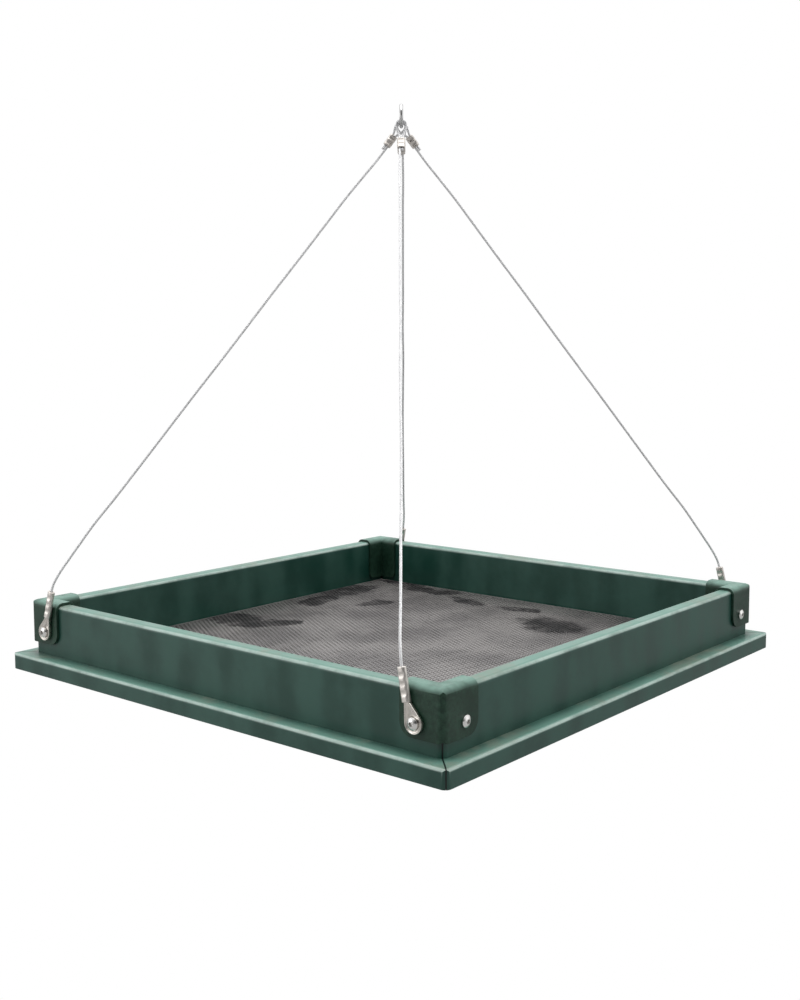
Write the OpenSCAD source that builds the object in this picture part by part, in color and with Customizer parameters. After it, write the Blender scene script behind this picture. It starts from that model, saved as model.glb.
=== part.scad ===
// Hanging tray bird feeder: a square mitred tray of solid plastic lumber with four
// moulded corner caps and a loose perforated floor, slung from one ring by four wire
// ropes. The origin is the point inside the ring where a hook bears; +Z is up.

/* [Base frame] */
// Outer side of the square base
base_side = 440; // [380:1:600]
// Thickness of the base rails
rail_t = 12.7; // [9:0.1:22]
// Width of each base rail
rail_w = 60; // [40:1:90]
// How far the base stands out past the walls
ledge = 13; // [6:0.5:30]
// Rounding of the base's upper outer edge
rail_round = 3; // [1:0.25:4]
// Rounding of the base's upright corners
base_corner_r = 4.7; // [2:0.1:8]

/* [Walls] */
// Height of the walls above the base
wall_h = 40.5; // [32:0.5:80]
// Thickness of the walls
wall_t = 12.7; // [10:0.1:22]
// Rounding along the top edges of the walls
wall_round = 3.5; // [1:0.25:4.5]
// Gap left at each mitred joint
mitre_gap = 0.15; // [0.05:0.05:0.5]

/* [Corner caps] */
// Thickness of the caps
cap_t = 2; // [1.2:0.1:3.5]
// Gap between a cap and the walls under it
cap_fit = 0.2; // [0.1:0.05:0.5]
// Length of a cap along each wall
cap_len = 32; // [28:0.5:50]
// How far the outer flaps reach down from the wall's top
cap_drop = 31.2; // [28:0.1:31.5]
// Rounding of a flap's lower corner, away from the tray's corner
flap_r = 9.5; // [3:0.5:10]
// Rounding of a flap's lower corner, at the tray's corner
flap_corner_r = 5; // [2:0.5:9]
// Rounding of the cap's upright corner
cap_corner_r = 5.5; // [3:0.1:8]
// Height of the inner flaps above the floor sheet
flap_clear = 2.5; // [1:0.5:12]

/* [Floor sheet] */
// Thickness of the perforated sheet
sheet_t = 0.6; // [0.4:0.1:3]
// Gap from the sheet's edge to the inner flaps
sheet_gap = 0.6; // [0.4:0.1:3]
// Gap under the sheet where it rests on the rails
sheet_seat = 0.2; // [0.1:0.05:0.5]

/* [Screws] */
// Diameter of the cap and lug screws
screw_d = 4; // [3:0.1:5]
// Diameter of their pan heads
head_d = 8; // [6:0.1:9.5]
// Height of their pan heads
head_h = 2.6; // [1.5:0.1:3.5]
// Distance from a wall's outer corner to the cap screw
screw_inset = 19; // [12:0.5:24]
// Depth of the cap screw below the wall's top
screw_drop = 21.2; // [14:0.1:22]
// How far the cap and lug screws reach into a wall
screw_bite = 7.4; // [4:0.1:8.5]
// Gap round a screw where it passes a hole
hole_gap = 0.2; // [0.1:0.05:0.5]
// Distance between the base screws along one side
base_pitch = 150; // [60:5:180]
// How far the base screws reach up into a wall
base_bite = 20; // [10:0.5:26]

/* [Lugs and sleeves] */
// Radius of a lug round its screw
lug_r = 6.7; // [5.5:0.1:8]
// Thickness of a lug's plate
lug_t = 1.6; // [1:0.1:3]
// Height of the rolled rim above the plate
rim_h = 0.7; // [0.3:0.1:1.5]
// Width of the rolled rim
rim_w = 1.1; // [0.5:0.1:1.2]
// Length from the screw to where the lug enters its sleeve
lug_len = 12.5; // [10:0.5:20]
// Lean of the lugs towards the middle of their wall
lug_lean = 22; // [10:1:25]
// Lean of the lower sleeves along the wall
sleeve_lean = 13; // [8:1:25]
// Lean of the lower sleeves in over the wall
sleeve_tilt = 3; // [0:0.5:4]
// Thickness of the washer behind a lug
washer_t = 0.8; // [0.5:0.1:1.5]
// Outer diameter of the washer
washer_d = 10; // [8.5:0.1:13]
// Length of a lower sleeve
low_sleeve_len = 21.5; // [16:0.5:30]
// Length of an upper sleeve
top_sleeve_len = 10; // [6:0.5:12]
// Width of the sleeves
sleeve_w = 6.2; // [5.6:0.1:8]
// Depth of the sleeves
sleeve_d = 4.2; // [3.6:0.1:5]
// Gap between a lower sleeve and the cap behind it
sleeve_gap = 0.5; // [0.4:0.05:0.8]

/* [Ropes and ring] */
// Diameter of the wire ropes
rope_d = 1.9; // [1.2:0.1:2]
// Height of the hook's bearing point above the base's underside
hang_drop = 442; // [425:0.5:460]
// Radius of the ring's centre line
ring_r = 8; // [8:0.25:14]
// Diameter of the ring's wire
ring_wire = 3; // [2:0.1:3.1]
// Heading of the ring's flat side
ring_turn = 130; // [125:1:135]

/* [Hidden] */
$fn = 64;

// Half sides of the square outlines, seen from above
base_o = base_side / 2;
wall_o = base_o - ledge;
wall_i = wall_o - wall_t;
cap_in = wall_i - cap_fit - cap_t;
cap_o = wall_o + cap_fit + cap_t;
sheet_o = cap_in - sheet_gap;

// Heights above the base's underside
wall_top = rail_t + wall_h;
sheet_z = rail_t + sheet_seat;
flap_in_z = sheet_z + sheet_t + flap_clear;
flap_out_z = wall_top - cap_drop;
screw_z = wall_top - screw_drop;

// Places along and out from a wall
screw_x = wall_o - screw_inset;
lug_y = cap_o + washer_t;
sleeve_y = cap_o + sleeve_gap + sleeve_d / 2;
neck_t = 1.2;
neck_w = 3.6;
neck_in = 3;
neck_r = 2.2;
neck_rim_w = 0.9;
neck_gap = 0.05;
sleeve_lift = 0.6;
bore_depth = 7;
shank_gap = 0.05;
core_gap = 0.2;
head_recess = 1.4;
base_head_d = 8;
base_head_h = 3;
base_head_sunk = 0.4;
base_hole_rim = 0.3;
far = 2 * base_side;

// Routes of the front and the left rope from the lower sleeve up to the eye at the
// ring and back down. The right and back ropes are the same, half a turn round.
FRONT_ROUTE = [
    [179.7, -211, -383.3], [178.3, -210.7, -377], [176.6, -209.5, -370.5], [173.3, -206.1, -362],
    [168.9, -200.7, -352], [163.5, -194, -340], [156, -185, -324], [145.5, -172.5, -304],
    [133.5, -158, -280], [120, -142, -253], [106, -126, -226], [92, -110, -198.5], [78.5, -93.5, -171],
    [64.5, -77.5, -143.5], [50.5, -61, -116], [38.1, -46.5, -91.5], [27.8, -34.4, -71], [18.8, -24.2, -54],
    [13.3, -17.5, -42.9], [9.4, -12.8, -35], [6.6, -9.5, -29.5], [4.7, -7.2, -25.5], [2.9, -5.8, -22.3],
    [1.1, -5.3, -19.3], [0, -5.2, -16.5], [-0.5, -5.2, -14], [-0.1, -4.9, -12.1], [0.9, -4.1, -10.7],
    [2.4, -2.8, -10.2], [3.8, -1.6, -10.7], [4.9, -0.7, -12.1], [5.2, -0.5, -14], [5.1, -0.9, -16.5],
    [5, -2.1, -19.3], [5.2, -3.8, -22.3], [6.2, -5.9, -25.5], [8.2, -8.2, -29.5], [10.9, -11.5, -35.1]];
LEFT_ROUTE = [
    [-179.7, -211, -383.3], [-178.3, -210.7, -377], [-176.6, -209.5, -370.5], [-173.3, -206.1, -362],
    [-168.9, -200.7, -352], [-163.5, -194, -340], [-156, -185, -324], [-145.5, -172.5, -304],
    [-133.5, -158, -280], [-120, -142, -253], [-106.5, -126, -226], [-92.5, -109.5, -198.5],
    [-78.5, -93.5, -171], [-65, -77, -143.5], [-51, -60.5, -116], [-38.7, -46, -91.5], [-28.4, -33.9, -71],
    [-19.3, -23.3, -54.2], [-13.3, -16.2, -43.2], [-9.4, -11.4, -35.3], [-6.6, -8.2, -29.8],
    [-4.7, -5.8, -25.8], [-3, -3.9, -22.7], [-0.8, -2, -20.7], [1.2, -0.5, -19.2], [2.6, 0.6, -17.4],
    [3.2, 1.2, -15.6], [3.1, 1, -13.7], [2.2, 0.2, -12.1], [0.8, -0.9, -11.4], [-0.7, -2.2, -11.7],
    [-1.9, -3.2, -13], [-2.8, -3.9, -15.2], [-3.5, -4.3, -18.1], [-4.4, -5.1, -21.4], [-5.9, -6.8, -24.6],
    [-7.9, -9.2, -28.6], [-9.8, -11.5, -32.5]];
// Route points in each upper sleeve: going up and coming back, first near the ring
// and then further down
FRONT_SLEEVE = [21, 35, 20, 36];
LEFT_SLEEVE = [22, 34, 20, 36];
ROPE_SIDES = 8;
ROPE_STEPS = 2;

green = [0.16, 0.32, 0.28];
dark_green = [0.12, 0.25, 0.21];
steel = [0.75, 0.75, 0.74];
zinc = [0.68, 0.66, 0.62];
sheet_grey = [0.35, 0.35, 0.36];

function unit(v) = v / norm(v);
function last(list) = list[len(list) - 1];

// Point at share u between b and c on a smooth curve through a, b, c and d
function curve_point(a, b, c, d, u) =
    0.5 * (2 * b + (c - a) * u + (2 * a - 5 * b + 4 * c - d) * u * u
    + (3 * b - a - 3 * c + d) * u * u * u);

// The route with its two ends carried on by one point each
function ends_out(p) = concat([2 * p[0] - p[1]], p, [2 * last(p) - p[len(p) - 2]]);

function smooth_route(p, steps) = let (q = ends_out(p)) concat(
    [for (i = [1 : len(p) - 1]) for (k = [0 : steps - 1])
        curve_point(q[i - 1], q[i], q[i + 1], q[i + 2], k / steps)], [last(p)]);

function tangent(p, i) = unit(p[min(i + 1, len(p) - 1)] - p[max(i - 1, 0)]);

// Side vectors carried along the route without twist
function carried(p, side, i) =
    i == len(p) ? [] : let (t = tangent(p, i), s = unit(side - (side * t) * t))
    concat([s], carried(p, s, i + 1));

// Everything on the tray is drawn from the base's underside up
module from_base() translate([0, 0, -hang_drop]) children();

module quarter_turns(n) rotate([0, 0, 90 * n]) children();

module half_turn() rotate([0, 0, 180]) children();

// Square seen from above with rounded corners, drawn as true arcs
module round_square(half, r) {
    square([2 * half, 2 * (half - r)], center = true);
    square([2 * (half - r), 2 * half], center = true);
    for (x = [-1, 1]) for (y = [-1, 1]) translate([x, y] * (half - r)) circle(r);
}

// Board section with its two upper edges rounded
module round_top(w, h, r) {
    square([w, h - r]);
    translate([r, 0]) square([w - 2 * r, h]);
    for (x = [r, w - r]) translate([x, h - r]) circle(r);
}

// Section of a base rail, its rounded upper edge at x = 0
module rail_section() {
    translate([rail_round, 0]) square([rail_w - rail_round, rail_t]);
    square([rail_round, rail_t - rail_round]);
    translate([rail_round, rail_t - rail_round]) circle(rail_round);
}

// A section (x inwards, y up) run along the south side, its x = 0 at y = -outer
module along_south(outer, length) {
    translate([-length / 2, -outer, 0]) rotate([90, 0, 90]) linear_extrude(length) children();
}

// Mitre wedge over the south side, with half of the joint's gap on each face
module south_wedge(reach, height) {
    translate([0, -mitre_gap / 2, 0])
        linear_extrude(height) polygon([[0, 0], [reach, -reach], [-reach, -reach]]);
}

module rail() {
    color(green) from_base() difference() {
        intersection() {
            along_south(base_o, base_side) rail_section();
            south_wedge(base_side, rail_t);
            linear_extrude(rail_t) round_square(base_o, base_corner_r);
        }
        for (i = [-1 : 1]) translate([i * base_pitch, -wall_mid(), 0]) {
            translate([0, 0, -1]) cylinder(d = base_head_d + 2 * base_hole_rim, h = 1 + base_head_h);
            cylinder(d = screw_d + 2 * hole_gap, h = rail_t + 1);
        }
    }
}

function wall_mid() = wall_o - wall_t / 2;

module wall() {
    color(green) from_base() difference() {
        translate([0, 0, rail_t]) intersection() {
            along_south(wall_o, 2 * wall_o) round_top(wall_t, wall_h, wall_round);
            south_wedge(base_side, wall_h);
            linear_extrude(wall_h) round_square(wall_o, base_corner_r);
        }
        for (i = [-1 : 1]) translate([i * base_pitch, -wall_mid(), rail_t - 1])
            cylinder(d = screw_d + 2 * shank_gap, h = 1 + base_bite - (rail_t - base_head_h) + 1);
        for (x = [-screw_x, screw_x]) translate([x, -wall_o - 1, screw_z]) rotate([-90, 0, 0])
            cylinder(d = screw_d + 2 * shank_gap, h = 1 + screw_bite + 1);
    }
}

// Side view of one flap: x along the wall from the cap's end to the tray's corner
module flap_view(x0, x1, z0, z1, r0, r1) {
    translate([x0 + r0, z0]) square([x1 - r1 - x0 - r0, z1 - z0]);
    translate([x0, z0 + r0]) square([r0, z1 - z0 - r0]);
    translate([x0 + r0, z0 + r0]) circle(r0);
    translate([x1 - r1, z0 + r1]) square([r1, z1 - z0 - r1]);
    translate([x1 - r1, z0 + r1]) circle(r1);
}

// A side view stood up across the south wall from y = y0 to y = y1
module across_south(y0, y1) {
    translate([0, y1, 0]) rotate([90, 0, 0]) linear_extrude(y1 - y0) children();
}

// Section of the cap over the wall: a rounded channel, open downwards
module cap_section() {
    w = wall_t + 2 * cap_fit;
    h = wall_h + cap_fit;
    r = wall_round + cap_fit;
    difference() {
        translate([-cap_t, 0]) round_top(w + 2 * cap_t, h + cap_t, r + cap_t);
        translate([0, -1]) round_top(w, h + 1, r);
    }
}

// Half of a cap, over the south wall at its east end
module cap_arm() {
    top = wall_top + cap_fit + cap_t;
    x0 = wall_o - cap_len;
    intersection() {
        translate([0, 0, rail_t]) along_south(wall_o + cap_fit, far) cap_section();
        translate([0, 0, -1]) linear_extrude(far) polygon([[0, 0], [far, -far], [0, -far]]);
        union() {
            across_south(-cap_o - 1, -wall_mid())
                flap_view(x0, cap_o, flap_out_z, top + 1, flap_r, flap_corner_r);
            across_south(-wall_mid(), -cap_in + 1)
                flap_view(x0, cap_o, flap_in_z, top + 1, flap_corner_r, 0.1);
        }
    }
}

// The cap at the tray's south-east corner
module cap() {
    color(dark_green) from_base() difference() {
        intersection() {
            union() {
                cap_arm();
                rotate([0, 0, 90]) mirror([1, 0, 0]) cap_arm();
            }
            linear_extrude(far) round_square(cap_o, cap_corner_r);
        }
        translate([screw_x, -cap_o - 1, screw_z]) rotate([-90, 0, 0])
            cylinder(d = screw_d + 2 * hole_gap, h = cap_t + cap_fit + 2);
        translate([cap_o + 1, -screw_x, screw_z]) rotate([0, -90, 0])
            cylinder(d = screw_d + 2 * hole_gap, h = cap_t + cap_fit + 2);
    }
}

module floor_sheet() {
    color(sheet_grey) from_base()
        translate([-sheet_o, -sheet_o, sheet_z]) cube([2 * sheet_o, 2 * sheet_o, sheet_t]);
}

// Six-lobed socket outline
module six_lobe(r) {
    circle(r * 0.78);
    for (a = [0 : 60 : 300]) rotate(a) translate([r * 0.72, 0]) circle(r * 0.28);
}

// Pan-head screw: z = 0 under the head, shank along -z
module pan_screw(reach) {
    crown = head_h * 0.55;
    difference() {
        union() {
            cylinder(d = head_d, h = head_h - crown);
            translate([0, 0, head_h - crown]) dome(head_d / 2, crown);
        }
        translate([0, 0, head_h - head_recess]) linear_extrude(head_recess + 1) six_lobe(head_d * 0.22);
    }
    translate([0, 0, -reach]) cylinder(d = screw_d, h = reach);
}

// Low dome of base radius r and height h, cut from one ball
module dome(r, h) {
    ball = (r * r + h * h) / (2 * h);
    rotate_extrude() intersection() {
        translate([0, h - ball]) circle(ball);
        square([r, h]);
    }
}

// A screw's frame on the south face: place (x, out) and pointing outwards
module on_south(x, out) translate([x, -out, screw_z]) rotate([90, 0, 0]) children();

module lug_screws() {
    color(steel) from_base() for (turn = [0, 2]) quarter_turns(turn) for (x = [-screw_x, screw_x])
        on_south(x, lug_y + lug_t) pan_screw(lug_y + lug_t - wall_o + screw_bite);
}

module cap_screws() {
    color(steel) from_base() for (turn = [1, 3]) quarter_turns(turn) for (x = [-screw_x, screw_x])
        on_south(x, cap_o) pan_screw(cap_o - wall_o + screw_bite);
}

module lug_washers() {
    color(steel) from_base() for (turn = [0, 2]) quarter_turns(turn) for (x = [-screw_x, screw_x])
        on_south(x, cap_o) difference() {
            cylinder(d = washer_d, h = washer_t);
            translate([0, 0, -1]) cylinder(d = screw_d + 2 * hole_gap, h = washer_t + 2);
        }
}

module base_screws() {
    color(steel) from_base() for (turn = [0 : 3]) quarter_turns(turn) for (i = [-1 : 1])
        translate([i * base_pitch, -wall_mid(), 0]) {
            translate([0, 0, base_head_sunk]) difference() {
                cylinder(d = base_head_d, h = base_head_h - base_head_sunk);
                translate([0, 0, -1]) linear_extrude(1 + head_recess) six_lobe(base_head_d * 0.22);
            }
            translate([0, 0, base_head_h]) cylinder(d = screw_d, h = base_bite);
        }
}

// Teardrop: a circle of r0 at the origin, one of r1 at y = len, and their tangents
module teardrop(r0, r1, len) {
    slope = asin((r0 - r1) / len);
    side = [cos(slope), sin(slope)];
    circle(r0);
    translate([0, len]) circle(r1);
    polygon([r0 * side, [0, len] + r1 * side, [0, len] + [-r1 * side[0], r1 * side[1]],
        [-r0 * side[0], r0 * side[1]]]);
}

// Frame of a lug: on the south wall at its east end, y up along the lug, z outwards
module lug_frame(west) {
    from_base() mirror([west, 0, 0]) on_south(screw_x, lug_y) rotate([0, 0, lug_lean]) children();
}

module lug(west) {
    color(zinc) lug_frame(west) difference() {
        union() {
            linear_extrude(lug_t) teardrop(lug_r, neck_r, lug_len);
            linear_extrude(lug_t + rim_h) difference() {
                teardrop(lug_r, neck_r, lug_len);
                teardrop(lug_r - rim_w, neck_r - neck_rim_w, lug_len);
                translate([-lug_r, lug_len - neck_gap]) square([2 * lug_r, 2 * neck_r]);
            }
            translate([-neck_w / 2, 0, (lug_t - neck_t) / 2])
                cube([neck_w, lug_len + neck_in, neck_t]);
        }
        translate([0, 0, -1]) cylinder(d = screw_d + 2 * hole_gap, h = lug_t + 2);
        translate([-far / 2, lug_len, -1]) cube([far, far, 1 + (lug_t - neck_t) / 2]);
        translate([-far / 2, lug_len, (lug_t + neck_t) / 2]) cube([far, far, far]);
        translate([neck_w / 2, lug_len, -1]) cube([far, far, far]);
        translate([-neck_w / 2 - far, lug_len, -1]) cube([far, far, far]);
    }
}

// Oval sleeve section, w wide and d deep
module oval(w, d) {
    square([w - d, d], center = true);
    for (x = [-1, 1]) translate([x * (w - d) / 2, 0]) circle(d / 2);
}

// Frame of a lower sleeve: z along it, from its lower end
module sleeve_frame() {
    translate([0, lug_len + sleeve_lift, sleeve_y - lug_y])
        rotate([0, 0, sleeve_lean - lug_lean]) rotate([-90 - sleeve_tilt, 0, 0]) children();
}

module low_sleeve(west) {
    color(zinc) lug_frame(west) difference() {
        sleeve_frame() difference() {
            linear_extrude(low_sleeve_len) oval(sleeve_w, sleeve_d);
            translate([0, 0, low_sleeve_len - bore_depth])
                cylinder(d = rope_d + 2 * core_gap, h = bore_depth + 1);
        }
        translate([-neck_w / 2 - neck_gap, 0, (lug_t - neck_t) / 2 - neck_gap])
            cube([neck_w + 2 * neck_gap, lug_len + neck_in + neck_gap, neck_t + 2 * neck_gap]);
    }
}

// Upper sleeve round the rope's two strands, set by the rope's own points
module top_sleeve(route, at) {
    near = (route[at[0]] + route[at[1]]) / 2;
    away = (route[at[2]] + route[at[3]]) / 2;
    split = route[at[1]] - route[at[0]];
    ez = unit(away - near);
    ex = unit(split - (split * ez) * ez);
    ey = cross(ez, ex);
    color(zinc) multmatrix([
        [ex[0], ey[0], ez[0], near[0]], [ex[1], ey[1], ez[1], near[1]],
        [ex[2], ey[2], ez[2], near[2]], [0, 0, 0, 1]])
        linear_extrude(top_sleeve_len) difference() {
            oval(sleeve_w, sleeve_d);
            oval(norm(split) + rope_d + core_gap / 2, rope_d + core_gap / 2);
        }
}

module rope(route) {
    path = smooth_route(route, ROPE_STEPS);
    sides = carried(path, [0, 1, 0], 0);
    n = len(path);
    points = [for (i = [0 : n - 1]) let (t = tangent(path, i), s = sides[i], u = cross(t, s))
        for (k = [0 : ROPE_SIDES - 1]) let (a = 360 * k / ROPE_SIDES)
            path[i] + rope_d / 2 * (cos(a) * s + sin(a) * u)];
    skin = [for (i = [0 : n - 2]) for (k = [0 : ROPE_SIDES - 1])
        let (a = i * ROPE_SIDES + k, b = i * ROPE_SIDES + (k + 1) % ROPE_SIDES)
        [b, a, a + ROPE_SIDES, b + ROPE_SIDES]];
    first_end = [for (k = [0 : ROPE_SIDES - 1]) k];
    last_end = [for (k = [0 : ROPE_SIDES - 1]) n * ROPE_SIDES - 1 - k];
    color(steel) polyhedron(points, concat([first_end], skin, [last_end]), convexity = 4);
}

// The ring stands upright with its inside top at the origin
module ring() {
    color(steel) translate([0, 0, ring_wire / 2 - ring_r]) rotate([90, 0, ring_turn])
        rotate_extrude() translate([ring_r, 0]) circle(ring_wire / 2);
}

module rope_front() rope(FRONT_ROUTE);
module rope_left() rope(LEFT_ROUTE);
module rope_right() half_turn() rope(LEFT_ROUTE);
module rope_back() half_turn() rope(FRONT_ROUTE);
module top_sleeve_front() top_sleeve(FRONT_ROUTE, FRONT_SLEEVE);
module top_sleeve_left() top_sleeve(LEFT_ROUTE, LEFT_SLEEVE);
module top_sleeve_right() half_turn() top_sleeve(LEFT_ROUTE, LEFT_SLEEVE);
module top_sleeve_back() half_turn() top_sleeve(FRONT_ROUTE, FRONT_SLEEVE);
module low_sleeve_front() low_sleeve(0);
module low_sleeve_left() low_sleeve(1);
module low_sleeve_right() half_turn() low_sleeve(1);
module low_sleeve_back() half_turn() low_sleeve(0);
module lug_front() lug(0);
module lug_left() lug(1);
module lug_right() half_turn() lug(1);
module lug_back() half_turn() lug(0);
module cap_front() cap();
module cap_right() quarter_turns(1) cap();
module cap_back() quarter_turns(2) cap();
module cap_left() quarter_turns(3) cap();
module wall_south() wall();
module wall_east() quarter_turns(1) wall();
module wall_north() quarter_turns(2) wall();
module wall_west() quarter_turns(3) wall();
module rail_south() rail();
module rail_east() quarter_turns(1) rail();
module rail_north() quarter_turns(2) rail();
module rail_west() quarter_turns(3) rail();

ring();
rope_front();
rope_left();
rope_right();
rope_back();
top_sleeve_front();
top_sleeve_left();
top_sleeve_right();
top_sleeve_back();
low_sleeve_front();
low_sleeve_left();
low_sleeve_right();
low_sleeve_back();
lug_front();
lug_left();
lug_right();
lug_back();
lug_screws();
lug_washers();
cap_screws();
base_screws();
cap_front();
cap_left();
cap_right();
cap_back();
wall_south();
wall_east();
wall_north();
wall_west();
rail_south();
rail_east();
rail_north();
rail_west();
floor_sheet();
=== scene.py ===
import math
import bmesh
import bpy
import numpy as np
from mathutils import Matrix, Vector


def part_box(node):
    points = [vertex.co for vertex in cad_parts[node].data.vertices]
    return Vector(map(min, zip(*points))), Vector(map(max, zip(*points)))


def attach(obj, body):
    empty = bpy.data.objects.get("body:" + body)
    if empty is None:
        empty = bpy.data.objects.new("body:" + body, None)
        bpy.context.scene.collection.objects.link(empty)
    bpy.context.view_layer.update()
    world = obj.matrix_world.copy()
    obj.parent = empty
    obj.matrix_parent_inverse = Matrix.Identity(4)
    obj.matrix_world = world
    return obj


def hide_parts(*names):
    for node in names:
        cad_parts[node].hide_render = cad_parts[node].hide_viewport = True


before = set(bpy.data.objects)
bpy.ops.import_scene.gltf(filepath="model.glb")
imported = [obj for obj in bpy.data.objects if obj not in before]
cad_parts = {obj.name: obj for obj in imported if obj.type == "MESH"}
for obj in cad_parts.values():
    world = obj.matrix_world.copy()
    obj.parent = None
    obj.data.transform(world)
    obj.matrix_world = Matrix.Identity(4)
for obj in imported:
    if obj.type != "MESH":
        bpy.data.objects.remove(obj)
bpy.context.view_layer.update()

MM = 0.001
UP = np.array([0.0, 0.0, 1.0])


def corners(*nodes):
    """Lowest and highest corner round several CAD nodes."""
    boxes = [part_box(n) for n in nodes]
    low = np.min([b[0] for b in boxes], axis=0)
    high = np.max([b[1] for b in boxes], axis=0)
    return low, high


SIDES = ("south", "east", "north", "west")
BASE_LOW, _ = corners(*["rail_" + s for s in SIDES])
SHEET_LOW, SHEET_HIGH = corners("floor_sheet")
WASHER_LOW, WASHER_HIGH = corners("lug_washers")
BASE_CENTRE = np.array([0.0, 0.0, BASE_LOW[2]])

# ---------------------------------------------------------------- camera

CAMERA_AT = (40.402, 14.406)      # azimuth and elevation of the camera from the base's centre
CAMERA_AWAY = 1.0439              # its distance from there
CAMERA_LOOK = (38.668, 5.483)     # azimuth and elevation that it looks back along
CAMERA_LENS = 45.094              # on a 36 mm sensor
CAMERA_SHIFT = (-0.04, -0.04)


def backwards(azimuth, elevation):
    """Direction from the object to a camera at that azimuth and elevation."""
    a, e = math.radians(azimuth), math.radians(elevation)
    return Vector((math.sin(a) * math.cos(e), -math.cos(a) * math.cos(e), math.sin(e)))


def make_camera():
    data = bpy.data.cameras.new("camera")
    data.sensor_width = 36
    data.lens = CAMERA_LENS
    data.shift_x, data.shift_y = CAMERA_SHIFT
    data.clip_start, data.clip_end = 0.01, 100
    camera = bpy.data.objects.new("camera", data)
    bpy.context.scene.collection.objects.link(camera)
    camera.location = Vector(BASE_CENTRE) + backwards(*CAMERA_AT) * CAMERA_AWAY
    camera.rotation_euler = (-backwards(*CAMERA_LOOK)).to_track_quat("-Z", "Y").to_euler()
    bpy.context.scene.camera = camera


make_camera()

# ---------------------------------------------------------------- mesh helpers


def add_piece(name, points, faces, material, body, smooth=True):
    """A new mesh object that rides on a CAD body and takes the material it is given."""
    mesh = bpy.data.meshes.new(name)
    mesh.from_pydata([tuple(p) for p in points], [], [tuple(f) for f in faces])
    mesh.validate()
    build = bmesh.new()
    build.from_mesh(mesh)
    bmesh.ops.recalc_face_normals(build, faces=build.faces[:])
    build.to_mesh(mesh)
    build.free()
    mesh.materials.append(material)
    mesh.shade_smooth() if smooth else mesh.shade_flat()
    piece = bpy.data.objects.new(name, mesh)
    bpy.context.scene.collection.objects.link(piece)
    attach(piece, body)
    return piece


def loft(rings, wrap=False):
    """Points and faces of a skin through rings of equal count. Its ends are closed by fans,
    or it wraps round from the last ring to the first."""
    rings = np.asarray(rings, float)
    count, around = rings.shape[:2]
    points = rings.reshape(-1, 3)
    faces = []
    for i in range(count if wrap else count - 1):
        a, b = i * around, (i + 1) % count * around
        for k in range(around):
            j = (k + 1) % around
            faces.append((a + k, a + j, b + j, b + k))
    if not wrap:
        centres = [rings[0].mean(0), rings[-1].mean(0)]
        for end, start in enumerate((0, (count - 1) * around)):
            tip = len(points) + end
            for k in range(around):
                faces.append((start + k, start + (k + 1) % around, tip))
        points = np.vstack([points, centres])
    return points, faces


def unit(v):
    v = np.asarray(v, float)
    return v / np.linalg.norm(v)


def placed(flat, origin, ex, ey, ez):
    """Rows (x, y, z) of a local frame, brought into the part's frame."""
    flat = np.asarray(flat, float)
    return np.asarray(origin) + flat[..., :1] * ex + flat[..., 1:2] * ey + flat[..., 2:] * ez


# ---------------------------------------------------------------- node materials

WHITE = (1, 1, 1, 1)


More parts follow.
